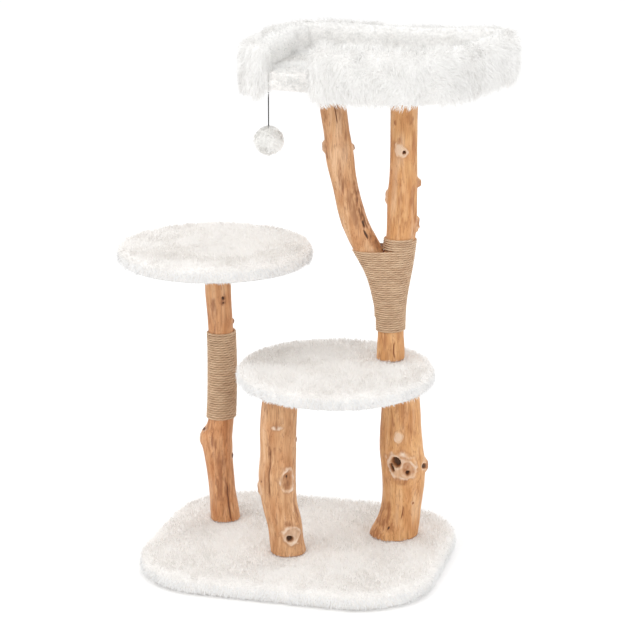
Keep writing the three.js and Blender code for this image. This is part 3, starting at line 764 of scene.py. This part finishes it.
def rope_mesh(name, path, radius, lay_length=0.011, sides=12):
    """A three-strand rope along a path that circles an upright post."""
    points, distances = even_points(path, 0.0036)
    tangents = unit(np.gradient(points, axis=0))
    up = unit(UP - tangents * (tangents @ UP)[:, None])
    out = np.cross(tangents, up)
    turns = np.linspace(0, 2 * math.pi, sides, endpoint=False)
    twist = 2 * math.pi * distances / lay_length
    lobes = np.cos(3 * turns[None] - twist[:, None])
    reach_out = radius * (0.93 + 0.07 * lobes)
    ring = np.cos(turns)[None, :, None] * out[:, None] + np.sin(turns)[None, :, None] * up[:, None]
    rings = points[:, None] + reach_out[:, :, None] * ring
    rope = mesh_object(name, rings.reshape(-1, 3), tube_faces(len(points), sides), SISAL)
    # The painted groove shade: 1 where the rope is thinnest, between its strands.
    add_attribute(rope, "painted_groove_shade", (0.5 - 0.5 * lobes).ravel())
    return rope, points


def rope_wrap(node, core, pitch, crotch=None):
    """A rope wound tight round a post, over the CAD wrap's outline. Above the crotch it circles the core."""
    low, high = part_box(node)
    bvh, edges = node_bvh(node), node_edges(core)
    radius = 0.50 * pitch
    start, end = low.z + radius, high.z - radius
    turns = (end - start) / pitch
    per_turn = 72
    path = []
    for index in range(int(turns * per_turn)):
        done = index / per_turn
        height = start + pitch * done
        sampled = height
        if crotch is not None:
            above = start + pitch * round(done) > crotch
            sampled = max(height, crotch + 2 * MM) if above else min(height, crotch - 2 * MM)
        sampled = min(max(sampled, low.z + MM), high.z - MM)
        centre = slice_centre(edges, sampled)
        angle = 2 * math.pi * done
        out = Vector((math.cos(angle), math.sin(angle), 0))
        distance = reach(bvh, (centre[0], centre[1], sampled), out)
        path.append((centre[0], centre[1], height, angle, distance))
    path = np.array(path)
    distance = smoothed(path[:, 4:5], 2.0, axis=0, wrap=False)[:, 0] - radius
    ends = 5 * MM * (1 - fade(np.minimum(np.arange(len(path)), np.arange(len(path))[::-1]), 0, 8))
    distance = distance - ends
    x = path[:, 0] + distance * np.cos(path[:, 3])
    y = path[:, 1] + distance * np.sin(path[:, 3])
    rope, line = rope_mesh(f"{node}_turns", np.stack([x, y, path[:, 2]], axis=1), radius)
    add_fibres(f"{node}_fibres", line, path[:, :2].mean(axis=0), radius)
    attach(rope, "tree")
    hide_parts(node)


def add_fibres(name, line, centre, radius):
    """Loose sisal hairs that stand off the rope."""
    rng = np.random.default_rng(len(line))
    picked = line[rng.choice(len(line), 900)]
    out = unit((picked - np.array([*centre, 0])) * np.array([1, 1, 0]))
    roots = picked + out * 0.9 * radius + rng.normal(0, 0.4 * radius, picked.shape) * UP
    comb = unit(rng.normal(0, 1, roots.shape)) * 0.9
    length = np.full(len(roots), 5.5 * MM)
    piece = fur(name, roots, out, comb, length, 0.28 * MM, SISAL, seed=5, clump_size=1, pull=0, lift=0.35,
                levels=2)
    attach(piece, "tree")


def make_ropes():
    crotch = 0.604
    rope_wrap("left_post_rope", "left_post", pitch=4.7 * MM)
    rope_wrap("fork_rope", "trunk", pitch=4.38 * MM, crotch=crotch)


# ---------------------------------------------------------------- plush covers

GAP = 0.3 * MM  # the clearance between CAD pieces that touch
FOOT = 2 * MM  # how far over a cover a post's width is taken
CROWN_RINGS, EDGE_RINGS = 34, 13  # rings of a cover's top and of its rolled edge


def circle_outline(radius, inset, count):
    angles = np.linspace(0, 2 * math.pi, count, endpoint=False)
    return (radius - inset) * np.stack([np.cos(angles), np.sin(angles)], axis=1)


def rounded_outline(half_width, half_depth, corner, inset, count):
    """A rounded rectangle, as points at even distances along its edge."""
    a, b, radius = half_width - corner, half_depth - corner, corner - inset
    path = []
    for quarter, (x, y) in enumerate([(a, b), (-a, b), (-a, -b), (a, -b)]):
        turns = np.linspace(quarter * math.pi / 2, (quarter + 1) * math.pi / 2, 40)
        path += [(x + radius * math.cos(turn), y + radius * math.sin(turn), 0) for turn in turns]
    path.append(path[0])
    whole = np.linalg.norm(np.diff(path, axis=0), axis=1).sum()
    points, _ = even_points(np.array(path), whole / (count + 1.5))
    return np.array([points[int(i * (len(points) - 1) / count)][:2] for i in range(count)])


def cover_piece(node, outline, board_top, edge, seed, around=240):
    """A plush cover: crowned top, soft rolled edge, and a pocket below that the board fills."""
    low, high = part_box(node)
    centre = (np.array(low) + np.array(high)) / 2
    inset, pile, backing = 3.5 * MM, 2.2 * MM, 1.2 * MM
    top, bottom = high.z - pile, low.z + backing
    soft = 0.42 * (top - bottom)
    rings = []
    outer = outline(inset, around)
    for share in np.linspace(0.03, 0.92, CROWN_RINGS):
        rings.append((outline(inset + soft * 0.9, around) * share, top))
    for turn in np.linspace(math.pi / 2, -math.pi / 2, EDGE_RINGS):
        pull_in = soft * (1 - math.cos(turn))
        middle = (top + bottom) / 2 + math.copysign((top - bottom) / 2 - soft, math.sin(turn))
        rings.append((outline(inset + pull_in, around), middle + soft * math.sin(turn)))
    rings.append((outline(edge - 0.2 * MM, around), bottom))
    rings.append((outline(edge, around), bottom + MM))
    rings.append((outline(edge, around), board_top))
    rings.append((outer * 0.03, board_top))
    points = np.array([(x + centre[0], y + centre[1], z) for ring, z in rings for x, y in ring])
    faces = [tuple(reversed(face)) for face in tube_faces(len(rings), around)]
    cover = mesh_object(f"{node}_plush", points, faces, PLUSH)
    normals = vertex_normals(cover.data)
    shown = (CROWN_RINGS + EDGE_RINGS) * around  # the rings after these line the pocket
    outside = fade(points[:, 2], bottom - MM, bottom + 4 * MM) * (np.arange(len(points)) < shown)
    lumps = 0.7 * lattice_noise(points, (0.040, 0.040, 0.02), seed)
    lumps = lumps + 0.3 * lattice_noise(points, (0.009,) * 3, seed + 1)
    set_coordinates(cover.data, points + normals * (lumps * MM * outside)[:, None])
    return cover


def near_posts(points, posts, margin):
    """True where a point lies within a post's foot."""
    close = np.zeros(len(points), bool)
    for post, height in posts:
        low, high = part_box(post)
        centre = slice_centre(node_edges(post), height)
        radius = reach(node_bvh(post), centre, Vector((0, -1, 0)))
        close |= np.hypot(points[:, 0] - centre[0], points[:, 1] - centre[1]) < radius + margin
    return close


def short_pile(name, cover, count, posts, floor, seed, length=9.5 * MM):
    """Short plush over a cover's top and sides, combed by soft random swirls."""
    shown = lambda middle, facing: (facing[:, 2] > -0.75) * (middle[:, 2] > floor)
    roots, normals = scatter(cover, count, seed, shown)
    free = ~near_posts(roots, posts, 1.5 * MM)
    roots, normals = roots[free], normals[free]
    swirl = swirls(roots, normals, 0.060, 0.018, 0.4, seed, 5)
    side = 1 - np.clip(normals[:, 2], 0, 1)
    comb = 0.35 * swirl - UP * (0.5 * side)[:, None]
    sizes = np.full(len(roots), length) * (1 + 0.12 * lattice_noise(roots, (0.03,) * 3, seed + 9))
    # Steep sides take the darker side pile: painted shade.
    steep = normals[:, 2] < 0.45
    pieces = [cover]
    for part, suffix, look in ((~steep, "", PILE), (steep, "_side", SIDE_PILE_PAINTED_SHADE)):
        pieces.append(fur(name + suffix, roots[part], normals[part], comb[part], sizes[part], 1.2 * MM, look,
                          seed, clump_size=6, pull=0.2, lift=0.9, levels=2))
    for soft in pieces:
        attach(soft, "tree")


def board_top_of(node):
    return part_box(node)[1].z + GAP


def make_covers():
    low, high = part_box("base_cover")
    half_width, half_depth = (high.x - low.x) / 2, (high.y - low.y) / 2
    base_outline = lambda inset, count: rounded_outline(half_width, half_depth, BASE_CORNER, inset, count)
    board_edge = half_width - (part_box("base_board")[1].x - (low.x + high.x) / 2) - GAP
    board_top = board_top_of("base_board")
    base = cover_piece("base_cover", base_outline, board_top, board_edge, seed=61, around=300)
    foot = high.z + FOOT
    posts = [(post, foot) for post in ("left_post", "front_log", "right_log")]
    short_pile("base_pile", base, 48000, posts, MM, seed=71)
    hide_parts("base_cover")
    for name, posts in (("left", []), ("middle", ["trunk"])):
        node = f"{name}_platform_cover"
        low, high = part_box(node)
        radius = (high.x - low.x) / 2
        board_radius = (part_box(f"{name}_platform_board")[1].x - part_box(f"{name}_platform_board")[0].x) / 2
        outline = lambda inset, count: circle_outline(radius, inset, count)
        board_top = board_top_of(f"{name}_platform_board")
        cover = cover_piece(node, outline, board_top, radius - board_radius - GAP, seed=81)
        footed = [(post, high.z + FOOT) for post in posts]
        short_pile(f"{name}_platform_pile", cover, 25000, footed, low.z + MM, seed=91)
        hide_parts(node)


# ---------------------------------------------------------------- the bed

BED_WALL = 58 * MM
BOARD_INSET = 12 * MM  # how far the bed's board stays inside the wall's outer face
ON_BOARD = 2 * MM  # the wall and the pad stay where they are this close above the board
CORD_ROOM, CORD_ROOM_HEIGHT = 22 * MM, 30 * MM  # no wall fur this close round the cord and this low
SEAM = 2.5 * MM  # the wall and the pad stay where they are this close to each other


def past_edge_of(node):
    """A function that says how far outside a CAD node's outline points lie, seen from above, in metres."""
    low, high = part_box(node)
    middle = (np.array(low) + np.array(high)) / 2
    bvh = node_bvh(node)
    angles = np.linspace(-math.pi, math.pi, 145)
    hits = [reach(bvh, middle, (math.cos(angle), math.sin(angle), 0)) for angle in angles]
    known = [index for index, hit in enumerate(hits) if hit is not None]
    edge = np.interp(angles, angles[known], [hits[index] for index in known])

    def past(points):
        x, y = points[:, 0] - middle[0], points[:, 1] - middle[1]
        return np.hypot(x, y) - np.interp(np.arctan2(y, x), angles, edge)

    return past


def close_to(node, points, margin):
    """True where a point lies within a margin of a CAD node's surface."""
    bvh = node_bvh(node)
    return np.array([bvh.find_nearest(Vector(point), margin)[0] is not None for point in points])


def swell(piece, held, most):
    """Blows the piece up as stuffed cloth and keeps the result. held is the vertices that stay put."""
    before = coordinates(piece.data)
    group = piece.vertex_groups.new(name="held")
    group.add(np.flatnonzero(held).tolist(), 1.0, "REPLACE")
    cloth = piece.modifiers.new("cloth", "CLOTH")
    cloth.settings.vertex_group_mass = group.name
    cloth.settings.use_pressure = True
    cloth.settings.uniform_pressure_force = 4
    cloth.settings.effector_weights.gravity = 0
    cloth.settings.quality = 4
    cloth.settings.tension_stiffness = 8
    cloth.settings.compression_stiffness = 8
    scene = bpy.context.scene
    for number in range(1, 21):
        scene.frame_set(number)
    result = piece.evaluated_get(bpy.context.evaluated_depsgraph_get())
    after = coordinates(result.data)
    piece.modifiers.clear()
    piece.vertex_groups.clear()
    scene.frame_set(1)
    moved = after - before
    distance = np.linalg.norm(moved, axis=1, keepdims=True)
    set_coordinates(piece.data, before + moved * np.minimum(1, most / np.maximum(distance, 1e-9)))


def soft_piece(node, name, material, inset, most, held_where, voxel=5.5 * MM):
    """A padded piece that starts as a slightly shrunken copy of its CAD solid and is blown up as cloth."""
    piece = link(bpy.data.objects.new(name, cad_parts[node].data.copy()))
    piece.data.materials.clear()
    piece.data.materials.append(material)
    remesh = piece.modifiers.new("remesh", "REMESH")
    remesh.mode = "VOXEL"
    remesh.voxel_size = voxel
    remesh.use_smooth_shade = True
    apply_modifiers(piece)
    points, normals = coordinates(piece.data), vertex_normals(piece.data)
    held = held_where(points)
    points = points - normals * (inset * ~held)[:, None]
    set_coordinates(piece.data, points)
    smooth = piece.modifiers.new("smooth", "SMOOTH")
    smooth.iterations = 5
    apply_modifiers(piece)
    set_coordinates(piece.data, np.where(held[:, None], points, coordinates(piece.data)))
    swell(piece, held, most)
    finer = piece.modifiers.new("finer", "SUBSURF")
    finer.levels = finer.render_levels = 1
    apply_modifiers(piece)
    piece.data.polygons.foreach_set("use_smooth", [True] * len(piece.data.polygons))
    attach(piece, "tree")
    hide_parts(node)
    return piece


def press_seam(wall, angle, past_edge):
    """Presses an upright seam into the wall's inside, at an angle round the bed's middle."""
    low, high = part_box("bed_board")
    points = coordinates(wall.data)
    x, y = points[:, 0] - (low.x + high.x) / 2, points[:, 1] - (low.y + high.y) / 2
    along = (np.arctan2(y, x) - angle) * np.hypot(x, y)
    inside = fade(-past_edge(points), BED_WALL / 2 - BOARD_INSET, BED_WALL - BOARD_INSET)
    press = 5 * MM * bell(along, 0, 5 * MM) * inside
    set_coordinates(wall.data, points - vertex_normals(wall.data) * press[:, None])


def make_bed_wall(past_edge):
    board_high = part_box("bed_board")[1]

    def on_board(points):
        return (points[:, 2] < board_high.z + ON_BOARD) & (past_edge(points) < 1.5 * MM)

    def held(points):
        return on_board(points) | close_to("bed_pad", points, SEAM)

    wall = soft_piece("bed_wall", "bed_wall_stuffing", LONG_PLUSH, 4.5 * MM, 5 * MM, held)
    press_seam(wall, math.radians(142), past_edge)
    roots, normals = scatter(wall, 46000, 101, lambda middle, facing: ~on_board(middle - 2 * MM * facing))
    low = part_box("bed_wall")[0]
    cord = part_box("toy_cord")[0]
    away = np.hypot(roots[:, 0] - cord.x, roots[:, 1] - cord.y)
    free = (away > CORD_ROOM) | (roots[:, 2] > low.z + CORD_ROOM_HEIGHT)
    roots, normals = roots[free], normals[free]
    middle_line = BOARD_INSET - BED_WALL / 2
    outside = fade((past_edge(roots) - middle_line) / (BED_WALL / 2), -0.5, 0.5)
    tangent = swirls(roots, normals, 0.06, 0.02, 0.5, 111, 6)
    droop = UP * (0.25 + 0.55 * outside * fade(-normals[:, 2], -0.6, 0.3))[:, None]
    front = fade(low.y + 1.6 * BED_WALL - roots[:, 1], 0, 0.4 * BED_WALL)
    crest = front * fade(normals[:, 2], 0.3, 0.9)  # the fur stands up along the top of the front wall
    comb = (1 - 0.7 * crest)[:, None] * ((0.2 + 0.6 * outside)[:, None] * tangent - droop)
    length = (4.5 + 14 * outside + 7 * crest) * MM
    # The inside takes the darker nap pile: painted shade.
    inside = outside < 0.4
    for name, part, material in (("bed_wall_fur", ~inside, LONG_PILE), ("bed_wall_nap", inside, NAP_PAINTED_SHADE)):
        hair = fur(name, roots[part], normals[part], comb[part], length[part], 1.0 * MM, material, 121,
                   clump_size=9, pull=0.4, lift=0.5)
        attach(hair, "tree")


def make_bed_pad():
    board_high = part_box("bed_board")[1]

    def held(points):
        return (points[:, 2] < board_high.z + ON_BOARD) | close_to("bed_wall", points, SEAM)

    pad = soft_piece("bed_pad", "bed_pad_stuffing", PLUSH, 1.5 * MM, 4 * MM, held, voxel=3.0 * MM)
    roots, normals = scatter(pad, 15000, 131, lambda middle, facing: facing[:, 2] > -0.3)
    comb = 0.5 * swirls(roots, normals, 0.05, 0.015, 0.4, 141, 6) - 0.2 * UP
    length = np.full(len(roots), 9 * MM)
    # The pad takes the darker nap pile: painted shade.
    pile = fur("bed_pad_pile", roots, normals, comb, length, 1.1 * MM, NAP_PAINTED_SHADE, 151, clump_size=6, pull=0.25,
               levels=2)
    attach(pile, "tree")


# ---------------------------------------------------------------- the toy

def make_pompom():
    low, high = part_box("toy_pompom")
    centre = (np.array(low) + np.array(high)) / 2
    radius = (high.x - low.x) / 2
    core = 0.82 * radius
    segments, rings = 40, 24
    turns = np.linspace(0, 2 * math.pi, segments, endpoint=False)
    points = []
    for tilt in np.linspace(-math.pi / 2 + 0.05, math.pi / 2 - 0.05, rings):
        level = math.cos(tilt)
        points += [(level * math.cos(turn), level * math.sin(turn), math.sin(tilt)) for turn in turns]
    points = np.array(points)
    size = core * (1 + 0.05 * lattice_noise(points, (0.4,) * 3, 3))
    squat = np.array([1, 1, 0.94])
    skin = centre + points * size[:, None] * squat
    body = mesh_object("toy_pompom_core", skin, tube_faces(rings, segments), LONG_PLUSH)
    roots, normals = scatter(body, 5200, 161)
    swirl = noise_field(roots, (0.015,) * 3, 171)
    comb = 0.9 * along_surface(swirl, normals) - 0.15 * UP
    length = np.full(len(roots), 9 * MM)
    # The pompom's strands take the lighter pompom pile: painted light.
    hair = fur("toy_pompom_fur", roots, normals, comb, length, 0.9 * MM, POMPOM_PILE_PAINTED_LIGHT, 181, clump_size=9,
               pull=0.45, lift=0.8)
    for piece in (body, hair):
        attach(piece, "toy")
    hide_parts("toy_pompom")
    return [body, hair]


# ---------------------------------------------------------------- everything else

LOOK_OF_WORD = {
    "board": CHIPBOARD,
    **dict.fromkeys(("backing", "underside"), LINING),
    **dict.fromkeys(("washer", "bolt", "nut", "stud", "screw", "loop"), STEEL),
}


def dress_cad_nodes():
    """Gives each CAD node that stays in sight the look that a word in its name asks for."""
    for name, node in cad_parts.items():
        for word in set(LOOK_OF_WORD) & set(name.split("_")):
            node.data.materials.clear()
            node.data.materials.append(LOOK_OF_WORD[word])


def add_light(name, place, target, size, power, colour):
    data = bpy.data.lights.new(name, "AREA")
    data.size = size
    data.energy = power
    data.color = colour
    light = link(bpy.data.objects.new(name, data))
    light.location = place
    light.rotation_euler = (Vector(target) - Vector(place)).to_track_quat("-Z", "Y").to_euler()


def make_studio():
    size = 40
    corners = [(-size, -size, 0), (size, -size, 0), (size, size, 0), (-size, size, 0)]
    paper = Shader("studio_floor", (0.95, 0.95, 0.95), 0.9, Specular_IOR_Level=0.0).material
    floor = mesh_object("studio_floor", corners, [(0, 1, 2, 3)], paper, smooth=False)
    world = bpy.data.worlds.new("studio")
    world.use_nodes = True
    background = world.node_tree.nodes["Background"]
    background.inputs["Color"].default_value = (1, 1, 1, 1)
    background.inputs["Strength"].default_value = 1.06
    bpy.context.scene.world = world
    middle = (0, 0, 0.5)
    add_light("key", (-2.2, -2.5, 4.1), middle, 2.2, 48, (1.0, 0.99, 0.97))
    add_light("fill", (3.2, -2.4, 2.2), middle, 2.5, 18, (0.98, 0.99, 1.0))
    add_light("back", (0.5, 3.6, 3.0), middle, 2.5, 30, (1.0, 1.0, 1.0))
    bpy.context.scene.view_settings.view_transform = "Standard"
    bpy.context.scene.cycles.diffuse_bounces = 8  # light passes between many strands before it comes out


make_camera()
toy_string, toy_exit, toy_length, toy_diameter = make_toy_cord()
toy_knot = make_knot()
toy_pompom = make_pompom()
for piece, node in ((toy_string, "toy_cord"), (toy_knot, "toy_knot")):
    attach(piece, "toy")
    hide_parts(node)
make_logs()
make_ropes()
make_covers()
make_bed_wall(past_edge_of("bed_board"))
make_bed_pad()
dress_cad_nodes()
make_studio()
